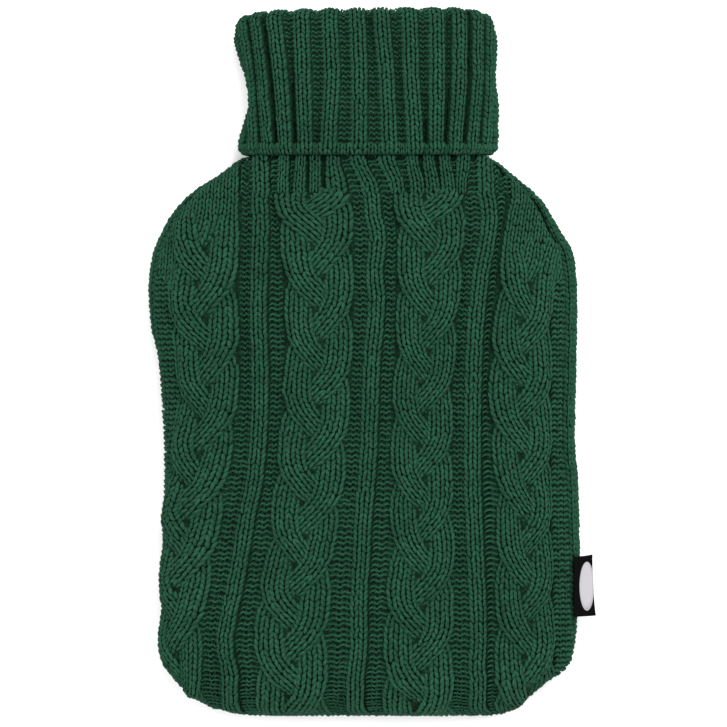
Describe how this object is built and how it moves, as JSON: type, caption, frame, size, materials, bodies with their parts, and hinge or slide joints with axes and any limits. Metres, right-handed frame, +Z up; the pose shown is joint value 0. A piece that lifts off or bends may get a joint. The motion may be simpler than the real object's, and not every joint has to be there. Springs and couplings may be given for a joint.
{
  "type": "hot water bottle cover",
  "caption": "Cable-knit cover for a hot water bottle, filled to shape, lying on its back, with a ribbed roll neck turned down into a cuff.",
  "frame": {"origin": "on the resting face, under the middle of the body", "axes": "+X across the cover, +Y from its bottom edge to its neck, +Z up from the surface it lies on, out of its front"},
  "size_m": [0.2175, 0.3435, 0.0508],
  "materials": {
    "front_knit": "dark green acrylic yarn, cable knit, slightly fuzzy",
    "back_knit": "dark green acrylic yarn, plain knit, slightly fuzzy",
    "collar_knit": "dark green acrylic yarn, wide rib, slightly fuzzy",
    "woven_tab": "black woven polyester tape with a plain pale oval"
  },
  "bodies": {
    "root": {"front_panel": "front_knit", "back_panel": "back_knit", "rib_collar": "collar_knit", "side_label": "woven_tab"}
  },
  "joints": []
}
